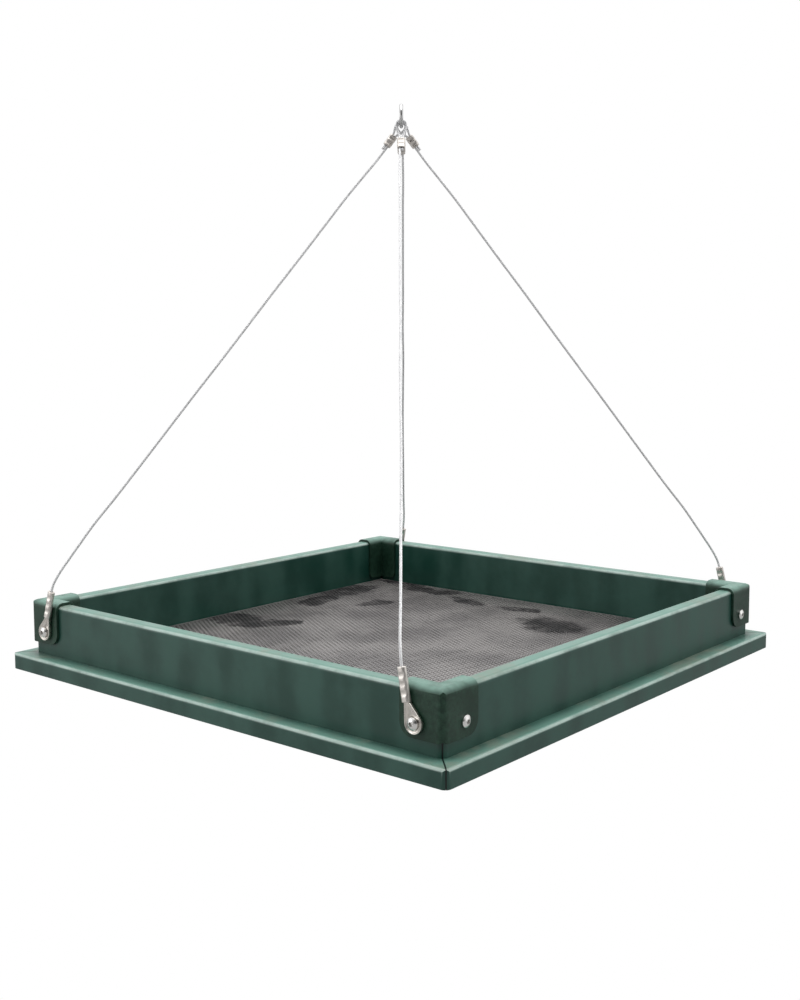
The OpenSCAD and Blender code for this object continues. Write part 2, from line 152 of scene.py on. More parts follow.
class Material:
    """A node material under construction: one Principled shader and what feeds it."""

    def __init__(self, name, colour, roughness, metallic=0.0, **inputs):
        self.made = bpy.data.materials.new(name)
        self.made.use_nodes = True
        self.tree = self.made.node_tree
        self.shader = self.tree.nodes["Principled BSDF"]
        self.put("Base Color", (*colour, 1))
        self.put("Roughness", roughness)
        self.put("Metallic", metallic)
        for socket, value in inputs.items():
            self.put(socket.replace("_", " "), value)
        self.place = self.tree.nodes.new("ShaderNodeTexCoord").outputs["Object"]
        self.height = None

    def put(self, socket, value):
        self.shader.inputs[socket].default_value = value

    def node(self, kind, **inputs):
        made = self.tree.nodes.new("ShaderNode" + kind)
        for socket, value in inputs.items():
            self.feed(made.inputs[socket.replace("_", " ")], value)
        return made

    def feed(self, socket, value):
        if isinstance(value, bpy.types.NodeSocket):
            self.tree.links.new(value, socket)
        else:
            socket.default_value = value

    def stretched(self, x, y, z):
        """Object coordinates scaled along each axis, in features per metre."""
        mapping = self.node("Mapping", Vector=self.place)
        mapping.inputs["Scale"].default_value = (x, y, z)
        return mapping.outputs["Vector"]

    def noise(self, where, detail=3.0, roughness=0.55, scale=1.0, distortion=0.0):
        return self.node("TexNoise", Vector=where, Scale=scale, Detail=detail,
                         Roughness=roughness, Distortion=distortion).outputs["Fac"]

    def ramp(self, value, low, high, to_low=0.0, to_high=1.0):
        """value between low and high, spread smoothly over to_low to to_high."""
        made = self.tree.nodes.new("ShaderNodeMapRange")
        made.interpolation_type = "SMOOTHSTEP"
        for socket, number in (("Value", value), ("From Min", low), ("From Max", high),
                               ("To Min", to_low), ("To Max", to_high)):
            self.feed(made.inputs[socket], number)
        return made.outputs["Result"]

    def math(self, what, a, b):
        made = self.tree.nodes.new("ShaderNodeMath")
        made.operation = what
        self.feed(made.inputs[0], a)
        self.feed(made.inputs[1], b)
        return made.outputs[0]

    def mix(self, share, a, b):
        """Colour a, going to b as share goes to 1."""
        made = self.tree.nodes.new("ShaderNodeMix")
        made.data_type = "RGBA"
        self.feed(made.inputs["Factor"], share)
        for socket, colour in (("A", a), ("B", b)):
            found = [s for s in made.inputs if s.name == socket and s.type == "RGBA"][0]
            self.feed(found, colour if isinstance(colour, bpy.types.NodeSocket) else (*colour, 1))
        return [s for s in made.outputs if s.type == "RGBA"][0]

    def facing_up(self):
        normal = self.node("NewGeometry").outputs["Normal"]
        return self.node("SeparateXYZ", Vector=normal).outputs["Z"]

    def open_to_light(self, reach):
        """0 in corners and recesses narrower than reach, 1 in the open."""
        return self.node("AmbientOcclusion", Distance=reach).outputs["AO"]

    def near_mitre(self):
        """1 on the diagonals where boards meet, 0 a little way off them."""
        apart = self.node("SeparateXYZ", Vector=self.place).outputs
        x, y = (self.math("ABSOLUTE", apart[axis], 0.0) for axis in "XY")
        off = self.math("ABSOLUTE", self.math("SUBTRACT", x, y), 0.0)
        return self.ramp(off, SEAM_DARK, SEAM_FADES, 1.0, 0.0)

    def blot(self, where, x, y, half_x, half_y):
        """1 inside an ellipse on the XY plane, fading to 0 outside it; where is a ragged position."""
        mapping = self.node("Mapping", Vector=where)
        mapping.inputs["Location"].default_value = (-x / half_x, -y / half_y, 0)
        mapping.inputs["Scale"].default_value = (1 / half_x, 1 / half_y, 0)
        length = self.node("VectorMath", Vector=mapping.outputs["Vector"])
        length.operation = "LENGTH"
        return self.ramp(length.outputs["Value"], 0.75, 1.1, 1.0, 0.0)

    def bump(self, height, metres, strength=1.0):
        """Adds relief that is this many metres deep."""
        made = self.node("Bump", Height=height, Strength=strength, Distance=metres)
        if self.height:
            self.tree.links.new(self.height, made.inputs["Normal"])
        self.height = made.outputs["Normal"]
        self.tree.links.new(self.height, self.shader.inputs["Normal"])

    def colour(self, socket):
        self.tree.links.new(socket, self.shader.inputs["Base Color"])

    def roughness(self, socket):
        self.tree.links.new(socket, self.shader.inputs["Roughness"])


SEAM_DARK, SEAM_FADES = 0.3 * MM, 1.1 * MM     # off the diagonal, in a mitre's dark line
CONTACT_SHADE_REACH = 13 * MM                          # painted shade: the painted light on a board's upper faces is weaker this near to another board
SEAM = (0.002, 0.006, 0.005)
LUMBER_DARK = (0.0080, 0.050, 0.036)
LUMBER_MID = (0.0240, 0.086, 0.065)
# The next colour is painted light on the boards' upper faces
LUMBER_PAINTED_TOP_LIGHT = (0.135, 0.275, 0.225)
LUMBER_DUST = (0.200, 0.215, 0.170)
# The next colour is a painted highlight on the roundings
LUMBER_PAINTED_HIGHLIGHT = (0.420, 0.540, 0.490)


def lumber(name, along_x):
    """Solid plastic lumber: soft pressing marks across the board, with painted sheen in their streaks'
    colour, mottle, painted light on upper faces that is weaker near other boards as painted shade,
    painted highlights on the roundings, dust and dark mitre seams."""
    m = Material(name, LUMBER_MID, 0.36, Specular_IOR_Level=0.5)
    across = (34, 20, 7) if along_x else (20, 34, 7)
    grain = (14, 500, 500) if along_x else (500, 14, 500)
    streaks = m.noise(m.stretched(*across), detail=2, roughness=0.5)
    mottle = m.noise(m.place, scale=45, detail=5, roughness=0.65)
    lines = m.noise(m.stretched(*grain), detail=3, roughness=0.6)
    # In the colour the streaks are painted sheen; in the roughness and the relief they are pressing
    # marks
    tone = m.math("ADD", m.math("MULTIPLY", streaks, 0.65), m.math("MULTIPLY", mottle, 0.35))
    body = m.mix(m.ramp(tone, 0.36, 0.64), LUMBER_DARK, LUMBER_MID)
    level = m.facing_up()
    up = m.ramp(level, 0.25, 0.95)
    # Painted light on the upper faces, weaker near other boards as painted shade
    unshaded_share = m.ramp(m.open_to_light(CONTACT_SHADE_REACH), 0.55, 0.97, 0.15, 0.95)
    painted_top_light = m.mix(m.math("MULTIPLY", up, unshaded_share), body, LUMBER_PAINTED_TOP_LIGHT)
    # Painted highlight on the roundings between the upper faces and the sides, broken up by the mottle
    rounding = m.math("MULTIPLY", m.ramp(level, 0.2, 0.5), m.ramp(level, 0.75, 0.98, 1.0, 0.0))
    highlighted = m.mix(m.math("MULTIPLY", rounding, m.ramp(mottle, 0.3, 0.6, 0.4, 0.9)), painted_top_light, LUMBER_PAINTED_HIGHLIGHT)
    dust_spots = m.ramp(m.noise(m.place, scale=22, detail=6, roughness=0.7), 0.46, 0.68)
    finish = m.mix(m.math("MULTIPLY", m.math("MULTIPLY", up, dust_spots), 0.6), highlighted, LUMBER_DUST)
    m.colour(m.mix(m.near_mitre(), finish, SEAM))
    m.roughness(m.ramp(tone, 0.35, 0.65, 0.28, 0.46))
    m.bump(streaks, 0.25 * MM, 0.35)
    m.bump(lines, 0.05 * MM, 0.5)
    m.bump(m.noise(m.place, scale=1400, detail=4, roughness=0.6), 0.03 * MM, 0.6)
    return m.made


# The last of these colours is painted light on the caps' upper faces
CAP_DARK, CAP_LIGHT, CAP_PAINTED_TOP_LIGHT = (0.006, 0.028, 0.016), (0.024, 0.066, 0.042), (0.200, 0.345, 0.290)


def cap_plastic():
    """Moulded cap plastic: a fine mottled grain, darker than the boards, with painted light on top."""
    m = Material("cap_plastic", CAP_DARK, 0.42, Specular_IOR_Level=0.35)
    mottle = m.noise(m.place, scale=330, detail=6, roughness=0.75)
    clouds = m.noise(m.place, scale=40, detail=3)
    tone = m.math("ADD", m.math("MULTIPLY", mottle, 0.6), m.math("MULTIPLY", clouds, 0.4))
    body = m.mix(m.ramp(tone, 0.38, 0.62), CAP_DARK, CAP_LIGHT)
    up = m.ramp(m.facing_up(), 0.2, 0.95, 0.0, 0.8)
    # Painted light on the upper faces, broken up by the clouds
    m.colour(m.mix(m.math("MULTIPLY", up, m.ramp(clouds, 0.3, 0.55, 0.4, 1.0)), body, CAP_PAINTED_TOP_LIGHT))
    m.roughness(m.ramp(mottle, 0.35, 0.65, 0.36, 0.55))
    m.bump(m.noise(m.place, scale=900, detail=5, roughness=0.7), 0.08 * MM, 0.6)
    m.bump(clouds, 0.3 * MM, 0.2)
    return m.made


RECESS_REACH = 1.5 * MM          # painted shade darkens hollows this narrow
# Colour of the painted shade in recesses
PAINTED_RECESS_SHADE = (0.05, 0.045, 0.04)


def metal(name, colour, roughness, dull, grain=900, relief=0.02, metallic=1.0, recess_shade=PAINTED_RECESS_SHADE):
    """Bare or plated metal: fine grain, duller blotches, small dents and painted shade in recesses.
    relief is the grain's depth in millimetres."""
    m = Material(name, colour, roughness, metallic=metallic)
    fine = m.noise(m.place, scale=grain, detail=5, roughness=0.7)
    blotches = m.noise(m.place, scale=grain / 6, detail=3)
    tone = m.math("ADD", m.math("MULTIPLY", fine, 0.4), m.math("MULTIPLY", blotches, 0.6))
    finish = m.mix(m.ramp(tone, 0.42, 0.66, 0.0, 0.6), colour, dull)
    # Painted shade in recesses and between the rope's strands
    m.colour(m.mix(m.ramp(m.open_to_light(RECESS_REACH), 0.2, 0.75, 0.85, 0.0), finish, recess_shade))
    m.roughness(m.ramp(blotches, 0.35, 0.65, roughness * 0.75, roughness * 1.4))
    m.bump(fine, relief * MM, 0.6)
    return m.made


# Painted shadows on the sheet, in millimetres: x, y and half their size along X and Y
PAINTED_SHADOW_SPOTS = [(66, 122, 37, 31), (-158, -32, 32, 20), (-128, -14, 16, 15), (-176, 122, 22, 34),
          (-166, 72, 16, 26), (-159, 183, 30, 14), (-113, 174, 38, 13), (-53, 161, 26, 12),
          (-120, 96, 12, 22), (6, 158, 24, 11)]
SHADOW_WANDER = 55       # how far a painted shadow's outline may be pushed, in millimetres
# Colour of the painted shadows
PAINTED_SHADOW_COLOUR = (0.014, 0.014, 0.015)
SHEET_DARK, SHEET_LIGHT = (0.150, 0.140, 0.140), (0.270, 0.255, 0.250)


def sheet_metal():
    """Dark coated perforated sheet with painted shadows in dark patches."""
    m = Material("sheet_metal", SHEET_DARK, 0.40, metallic=0.5)
    clouds = m.noise(m.place, scale=16, detail=5, roughness=0.6)
    fine = m.noise(m.place, scale=1500, detail=3)
    wander = m.node("TexNoise", Vector=m.place, Scale=24.0, Detail=5.0, Roughness=0.6)
    ragged = m.node("VectorMath", Vector=wander.outputs["Color"])
    ragged.operation = "MULTIPLY_ADD"
    ragged.inputs[1].default_value = (SHADOW_WANDER * MM, SHADOW_WANDER * MM, 0)
    m.feed(ragged.inputs[2], m.place)
    middle = SHADOW_WANDER / 2
    painted_shadow = None
    for x, y, half_x, half_y in PAINTED_SHADOW_SPOTS:
        one = m.blot(ragged.outputs["Vector"], (x + middle) * MM, (y + middle) * MM,
                     half_x * MM, half_y * MM)
        painted_shadow = m.math("MAXIMUM", painted_shadow, one) if painted_shadow else one
    body = m.mix(m.ramp(clouds, 0.35, 0.65), SHEET_DARK, SHEET_LIGHT)
    patchy = m.ramp(m.noise(m.place, scale=60, detail=5, roughness=0.7), 0.35, 0.6, 0.6, 0.95)
    # Painted shadow: dark patches on the sheet, broken up by patchy noise
    m.colour(m.mix(m.math("MULTIPLY", painted_shadow, patchy), body, PAINTED_SHADOW_COLOUR))
    m.roughness(m.ramp(painted_shadow, 0.0, 1.0, 0.40, 0.70))
    m.bump(fine, 0.02 * MM, 0.5)
    return m.made


MATERIALS = {
    "lumber_x": lumber("lumber_x", True),
    "lumber_y": lumber("lumber_y", False),
    "cap": cap_plastic(),
    "sheet": sheet_metal(),
    # The wire rope's pale recess colour is painted shade between its strands
    "rope": metal("wire_rope", (0.92, 0.92, 0.93), 0.34, (0.78, 0.78, 0.79), grain=1200,
                  metallic=0.35, recess_shade=(0.70, 0.70, 0.71)),
    "sleeve": metal("sleeve_aluminium", (0.74, 0.70, 0.66), 0.40, (0.52, 0.49, 0.46), grain=700,
                    relief=0.12),
    "lug": metal("lug_steel", (0.74, 0.70, 0.65), 0.30, (0.50, 0.46, 0.42), relief=0.04),
    "screw": metal("screw_steel", (0.88, 0.87, 0.85), 0.20, (0.70, 0.69, 0.66), relief=0.01),
    "ring": metal("ring_steel", (0.66, 0.66, 0.66), 0.22, (0.48, 0.48, 0.48), relief=0.02),
}

# ---------------------------------------------------------------- ropes

ROPE_D = 1.9 * MM
ROPE_LAY = 12 * MM        # length in which a strand goes once round the rope
ROPE_STRANDS = 6
STRAND_STEPS = 6          # points on each strand's bare outside
STRAND_OPEN = 120         # degrees from its outermost point to where the next strand touches
ROPE_STEP = 0.75 * MM     # length of rope between rings

# Routes from the lower sleeve up, round the eye at the ring and back down to the cut end,
# in millimetres. The right and back ropes are these two, half a turn round.
FRONT_ROUTE = [
    (179.7, -211, -383.3), (178.3, -210.7, -377), (176.6, -209.5, -370.5), (173.3, -206.1, -362),
    (168.9, -200.7, -352), (163.5, -194, -340), (156, -185, -324), (145.5, -172.5, -304),
    (133.5, -158, -280), (120, -142, -253), (106, -126, -226), (92, -110, -198.5), (78.5, -93.5, -171),
    (64.5, -77.5, -143.5), (50.5, -61, -116), (38.1, -46.5, -91.5), (27.8, -34.4, -71),
    (18.8, -24.2, -54), (13.3, -17.5, -42.9), (9.4, -12.8, -35), (6.6, -9.5, -29.5), (4.7, -7.2, -25.5),
    (2.9, -5.8, -22.3), (1.1, -5.3, -19.3), (0, -5.2, -16.5), (-0.5, -5.2, -14), (-0.1, -4.9, -12.1),
    (0.9, -4.1, -10.7), (2.4, -2.8, -10.2), (3.8, -1.6, -10.7), (4.9, -0.7, -12.1), (5.2, -0.5, -14),
    (5.1, -0.9, -16.5), (5, -2.1, -19.3), (5.2, -3.8, -22.3), (6.2, -5.9, -25.5), (8.2, -8.2, -29.5),
    (10.9, -11.5, -35.1)]
LEFT_ROUTE = [
    (-179.7, -211, -383.3), (-178.3, -210.7, -377), (-176.6, -209.5, -370.5), (-173.3, -206.1, -362),
    (-168.9, -200.7, -352), (-163.5, -194, -340), (-156, -185, -324), (-145.5, -172.5, -304),
    (-133.5, -158, -280), (-120, -142, -253), (-106.5, -126, -226), (-92.5, -109.5, -198.5),
    (-78.5, -93.5, -171), (-65, -77, -143.5), (-51, -60.5, -116), (-38.7, -46, -91.5),
    (-28.4, -33.9, -71), (-19.3, -23.3, -54.2), (-13.3, -16.2, -43.2), (-9.4, -11.4, -35.3),
    (-6.6, -8.2, -29.8), (-4.7, -5.8, -25.8), (-3, -3.9, -22.7), (-0.8, -2, -20.7), (1.2, -0.5, -19.2),
    (2.6, 0.6, -17.4), (3.2, 1.2, -15.6), (3.1, 1, -13.7), (2.2, 0.2, -12.1), (0.8, -0.9, -11.4),
    (-0.7, -2.2, -11.7), (-1.9, -3.2, -13), (-2.8, -3.9, -15.2), (-3.5, -4.3, -18.1),
    (-4.4, -5.1, -21.4), (-5.9, -6.8, -24.6), (-7.9, -9.2, -28.6), (-9.8, -11.5, -32.5)]
# Points of a route in its upper sleeve: going up and coming back, near the ring and further down
FRONT_SLEEVE = (21, 35, 20, 36)
LEFT_SLEEVE = (22, 34, 20, 36)
HALF_TURN = np.diag([-1.0, -1.0, 1.0])
ROPES = {
    "front": (np.array(FRONT_ROUTE) * MM, FRONT_SLEEVE),
    "left": (np.array(LEFT_ROUTE) * MM, LEFT_SLEEVE),
    "right": (np.array(LEFT_ROUTE) * MM @ HALF_TURN, LEFT_SLEEVE),
    "back": (np.array(FRONT_ROUTE) * MM @ HALF_TURN, FRONT_SLEEVE),
}


def smooth_route(route, steps=16):
    """A smooth curve through the route's points, evened out to equal steps."""
    ends = np.vstack([2 * route[0] - route[1], route, 2 * route[-1] - route[-2]])
    a, b, c, d = ends[:-3], ends[1:-2], ends[2:-1], ends[3:]
    u = np.arange(steps)[None, :, None] / steps
    a, b, c, d = (p[:, None, :] for p in (a, b, c, d))
    curve = 0.5 * (2 * b + (c - a) * u + (2 * a - 5 * b + 4 * c - d) * u ** 2
                   + (3 * b - a - 3 * c + d) * u ** 3)
    curve = np.vstack([curve.reshape(-1, 3), route[-1:]])
    gone = np.concatenate([[0], np.cumsum(np.linalg.norm(np.diff(curve, axis=0), axis=1))])
    at = np.linspace(0, gone[-1], int(round(gone[-1] / ROPE_STEP)) + 1)
    return np.stack([np.interp(at, gone, curve[:, k]) for k in range(3)], axis=1), at


def carried_frames(path):
    """Two side vectors at each point, carried along the path without twist."""
    along = np.gradient(path, axis=0)
    along /= np.linalg.norm(along, axis=1)[:, None]
    side = np.cross(along[0], UP)
    first, second = [], []
    for t in along:
        side = unit(side - side.dot(t) * t)
        first.append(side)
        second.append(np.cross(t, side))
    return np.array(first), np.array(second)


def strand_outline():
    """Radius and angle of the points round the rope, seen along it."""
    strand = ROPE_D / 6
    pitch = 2 * strand
    points = []
    for s in range(ROPE_STRANDS):
        turn = 2 * math.pi * s / ROPE_STRANDS
        for k in range(STRAND_STEPS):
            open_at = math.radians(-STRAND_OPEN + 2 * STRAND_OPEN * k / STRAND_STEPS)
            x, y = pitch + strand * math.cos(open_at), strand * math.sin(open_at)
            points.append((math.hypot(x, y), math.atan2(y, x) + turn))
    return np.array(points)


def make_rope(corner):
    route, _ = ROPES[corner]
    path, at = smooth_route(route)
    first, second = carried_frames(path)
    radius, angle = strand_outline().T
    turned = angle[None, :] + 2 * math.pi * at[:, None] / ROPE_LAY
    rings = (path[:, None, :]
             + (radius * np.cos(turned))[..., None] * first[:, None, :]
             + (radius * np.sin(turned))[..., None] * second[:, None, :])
    points, faces = loft(rings)
    rope = add_piece("wire_rope_" + corner, points, faces, MATERIALS["rope"], "tray")
    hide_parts("rope_" + corner)
    return rope


for corner_name in ROPES:
    make_rope(corner_name)

# ---------------------------------------------------------------- sleeves

SLEEVE_W, SLEEVE_D = 6.2 * MM, 4.2 * MM
TOP_SLEEVE_LEN = 10 * MM
LOW_SLEEVE_LEN = 21.5 * MM
SLEEVE_ROUND = 0.5 * MM
SLEEVE_STEPS = 40            # points round a sleeve
CRIMP_DEEP = 0.5 * MM        # how far a crimp presses the flat sides in
CRIMP_WIDE = 0.12 * MM       # how far it spreads the narrow sides
CRIMP_LEN = 1.5 * MM
HOLE_DEPTH = 5 * MM


def oval(width, depth):
    """Flat outline of an oval: two half circles joined by straight sides."""
    half = SLEEVE_STEPS // 2
    turn = (np.arange(half) + 0.5) * math.pi / half - math.pi / 2
    right = np.stack([(width - depth) / 2 + depth / 2 * np.cos(turn), depth / 2 * np.sin(turn)], axis=1)
    return np.vstack([right, -right])


def ring_at(outline, z):
    return np.column_stack([outline, np.full(len(outline), z)])


def pressed(at, crimps):
    """Share of a crimp's depth at a place along the sleeve."""
    return sum(math.exp(-((at - c) / CRIMP_LEN) ** 4) for c in crimps)


def sleeve_skin(length, crimps):
    """Rings from one end's rim over the crimped side to the other end's rim."""
    rings = []
    for inset, z in [(SLEEVE_ROUND * (1 - math.sin(a)), SLEEVE_ROUND * (1 - math.cos(a)))
                     for a in np.linspace(0, math.pi / 2, 5)]:
        rings.append(ring_at(oval(SLEEVE_W - 2 * inset, SLEEVE_D - 2 * inset), z))
    for z in np.arange(2 * SLEEVE_ROUND, length - 2 * SLEEVE_ROUND + 1e-9, 0.4 * MM):
        press = pressed(z, crimps)
        outline = oval(SLEEVE_W + 2 * CRIMP_WIDE * press, SLEEVE_D - 2 * CRIMP_DEEP * press)
        rings.append(ring_at(outline, z))
    for inset, z in [(SLEEVE_ROUND * (1 - math.cos(a)), SLEEVE_ROUND * (1 - math.sin(a)))
                     for a in np.linspace(0, math.pi / 2, 5)]:
        rings.append(ring_at(oval(SLEEVE_W - 2 * inset, SLEEVE_D - 2 * inset), length - z))
    return rings


LUG_LEN = 12.5 * MM
LUG_LEAN = 22                # degrees, along the wall
SLEEVE_LEAN = 13             # degrees, along the wall
SLEEVE_TILT = 3              # degrees, in over the wall
SLEEVE_LIFT = 0.6 * MM       # from the lug's end to the sleeve's
SCREW_Z = (WASHER_LOW[2] + WASHER_HIGH[2]) / 2
SCREW_X = WASHER_HIGH[0] - (WASHER_HIGH[2] - WASHER_LOW[2]) / 2
LUG_Y = WASHER_HIGH[1]
SLEEVE_OUT = 1.8 * MM        # from the lug's back to the sleeve's axis


def lug_frame(corner):
    """Screw centre on the lug's back, and the lug's own x, y (along it) and z (outwards)."""
    east = 1 if corner in ("front", "right") else -1
    north = 1 if corner in ("right", "back") else -1
    lean = math.radians(LUG_LEAN)
    origin = np.array([east * SCREW_X, north * LUG_Y, SCREW_Z])
    ey = np.array([-east * math.sin(lean), 0, math.cos(lean)])
    ez = np.array([0, north, 0])
    return origin, np.cross(ey, ez), ey, ez


def sleeve_frame(corner):
    """Lower end of a lower sleeve, its wide and flat directions, and its axis."""
    origin, _, ey, ez = lug_frame(corner)
    start = origin + ey * (LUG_LEN + SLEEVE_LIFT) + ez * SLEEVE_OUT
    lean, tilt = math.radians(SLEEVE_LEAN), math.radians(SLEEVE_TILT)
    upright = np.array([math.copysign(math.sin(lean), ey[0]), 0, math.cos(lean)])
    axis = upright * math.cos(tilt) - ez * math.sin(tilt)
    wide = unit(np.cross(axis, ez))
    return start, wide, np.cross(axis, wide), axis


def make_low_sleeve(corner):
    rings = sleeve_skin(LOW_SLEEVE_LEN, [5.5 * MM, 11 * MM, 16.5 * MM])
    bore = oval(ROPE_D + 0.25 * MM, ROPE_D + 0.249 * MM)
    rings += [ring_at(bore, LOW_SLEEVE_LEN), ring_at(bore, LOW_SLEEVE_LEN - HOLE_DEPTH)]
    points, faces = loft(rings)
    sleeve = add_piece("crimped_sleeve_low_" + corner, placed(points, *sleeve_frame(corner)), faces,
                       MATERIALS["sleeve"], "tray")
    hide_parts("low_sleeve_" + corner)


def make_top_sleeve(corner):
    route, at = ROPES[corner]
    near, away = (route[at[0]] + route[at[1]]) / 2, (route[at[2]] + route[at[3]]) / 2
    split = route[at[1]] - route[at[0]]
    ez = unit(away - near)
    ex = unit(split - split.dot(ez) * ez)
    ey = np.cross(ez, ex)
    rings = sleeve_skin(TOP_SLEEVE_LEN, [TOP_SLEEVE_LEN * 0.3, TOP_SLEEVE_LEN * 0.7])
    bore = oval(np.linalg.norm(split) + ROPE_D + 0.1 * MM, ROPE_D + 0.1 * MM)
    rings += [ring_at(bore, z) for z in np.linspace(TOP_SLEEVE_LEN, 0, 6)]
    points, faces = loft(rings, wrap=True)
    sleeve = add_piece("crimped_sleeve_top_" + corner, placed(points, near, ex, ey, ez), faces,
                       MATERIALS["sleeve"], "tray")
    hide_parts("top_sleeve_" + corner)


# ---------------------------------------------------------------- lugs

LUG_R, LUG_NECK_R = 6.7 * MM, 2.2 * MM
LUG_T = 1.6 * MM
LUG_HOLE = 2.2 * MM
# The lug's section, from its back edge out, over the rolled rim and in: inset and height in mm
LUG_SECTION = [(0.35, 0.0), (0.1, 0.1), (0.0, 0.35), (0.0, 1.75), (0.1, 2.1), (0.33, 2.28),
               (0.62, 2.28), (0.9, 2.1), (1.1, 1.78), (1.4, 1.62), (1.9, 1.6)]
LEAST_NECK_R = 0.25 * MM
BIG_ARC_POINTS, SMALL_ARC_POINTS = 33, 9


def arc(centre_y, radius, start, stop, points):
    turn = np.linspace(start, stop, points)
    return np.stack([radius * np.cos(turn), centre_y + radius * np.sin(turn)], axis=1)


def teardrop(inset):
    """Outline of the lug, drawn in by inset: a large arc, a small arc and their tangents."""
    big, small = LUG_R - inset, max(LUG_NECK_R - inset, LEAST_NECK_R)
    slope = math.asin((big - small) / LUG_LEN)
    large = arc(0, big, math.pi - slope, 2 * math.pi + slope, BIG_ARC_POINTS)
    little = arc(LUG_LEN, small, slope, math.pi - slope, SMALL_ARC_POINTS)
    share = np.array([[0.25], [0.5], [0.75]])
    right = large[-1] * (1 - share) + little[0] * share
    left = little[-1] * (1 - share) + large[0] * share
    return np.vstack([large, right, little, left])


def make_lug(corner):
    origin, ex, ey, ez = lug_frame(corner)
    rings = [ring_at(teardrop(inset * MM), z * MM) for inset, z in LUG_SECTION]
    directions = teardrop(LUG_SECTION[-1][0] * MM)
    hole = directions / np.linalg.norm(directions, axis=1)[:, None] * LUG_HOLE
    rings += [ring_at(hole, LUG_T), ring_at(hole, 0)]
    points, faces = loft(rings, wrap=True)
    lug = add_piece("rimmed_lug_" + corner, placed(points, origin, ex, ey, ez), faces,
                    MATERIALS["lug"], "tray")
    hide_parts("lug_" + corner)


for corner_name in ROPES:
    make_low_sleeve(corner_name)
    make_top_sleeve(corner_name)
    make_lug(corner_name)

# ---------------------------------------------------------------- ring

RING_LOW, RING_HIGH = corners("ring")
RING_WIRE_R = RING_HIGH[2] / 2    # the whole wire lies above the bearing point
RING_R = (RING_HIGH[2] - RING_LOW[2]) / 2 - RING_WIRE_R
RING_TURN = math.radians(130)     # direction in which the ring's plane lies
WELD_AT = math.radians(200)
WELD_SWELL, WELD_WIDTH = 0.05, 0.09


def make_ring():
    """The ring with a smooth butt weld: a low swelling at one side of the wire."""
    flat = np.array([math.cos(RING_TURN), math.sin(RING_TURN), 0])
    across = np.array([-flat[1], flat[0], 0])
    centre = np.array([0, 0, RING_WIRE_R - RING_R])
    rings = []
    for a in np.linspace(0, 2 * math.pi, 128, endpoint=False):
        out = math.cos(a) * flat + math.sin(a) * UP
        off_weld = math.remainder(a - WELD_AT, 2 * math.pi) / WELD_WIDTH
        wire = RING_WIRE_R * (1 + WELD_SWELL * math.exp(-off_weld ** 2))
        rings.append([centre + RING_R * out + wire * (math.cos(b) * out + math.sin(b) * across)
                      for b in np.linspace(0, 2 * math.pi, 28, endpoint=False)])
    points, faces = loft(rings, wrap=True)
    ring = add_piece("welded_ring", points, faces, MATERIALS["ring"], "hanger")
    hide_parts("ring")


make_ring()

# ---------------------------------------------------------------- perforated floor

HOLE_R = 1.4 * MM
HOLE_PITCH_Y = 4.18 * MM                              # between holes along a row
ROW_PITCH = HOLE_PITCH_Y * math.cos(math.radians(30))  # between rows, along X
HOLE_SIDES = 12
SHEET_MARGIN = 2 * MM                                 # least plain edge round the holes
STRIPS = 4                                            # pieces of sheet, side by side along X


def cell(x, y):
    """One cell of the sheet round a hole: six points on its edge and twelve on the hole."""
    half_x, half_y = ROW_PITCH / 2, HOLE_PITCH_Y / 2
    edge = [(half_x, 0), (half_x, half_y), (-half_x, half_y),
            (-half_x, 0), (-half_x, -half_y), (half_x, -half_y)]
    hole = [(HOLE_R * math.cos(math.radians(a)), HOLE_R * math.sin(math.radians(a)))
            for a in range(0, 360, 360 // HOLE_SIDES)]
    return [(x + dx, y + dy) for dx, dy in edge + hole]


# Faces of a cell: two points on its edge and the three on the hole that they close on
EDGE_OF_SECTOR = [(0, 1, 2, 1, 0), (1, 2, 4, 3, 2), (2, 3, 6, 5, 4),
                  (3, 4, 8, 7, 6), (4, 5, 10, 9, 8), (5, 0, 0, 11, 10)]


class SheetMaker:
    """Gathers flat polygons seen from above, then gives them thickness and walls."""

    def __init__(self):
        self.index, self.points, self.flat, self.holes = {}, [], [], []

    def at(self, x, y):
        key = (round(x * 1e7), round(y * 1e7))
        if key not in self.index:
            self.index[key] = len(self.points)
            self.points.append((x, y))
        return self.index[key]

    def solid(self, bottom, top):
        """Points and faces of the closed sheet."""
        count = len(self.points)
        points = [(x, y, top) for x, y in self.points] + [(x, y, bottom) for x, y in self.points]
        edges = {}
        for face in self.flat:
            for a, b in zip(face, face[1:] + face[:1]):
                if (b, a) in edges:
                    del edges[(b, a)]
                else:
                    edges[(a, b)] = True
        upper = [tuple(f) for f in self.flat]
        lower = [tuple(i + count for i in reversed(f)) for f in self.flat]
        walls = [(b, a, a + count, b + count) for a, b in edges]
        return points, upper + lower + walls


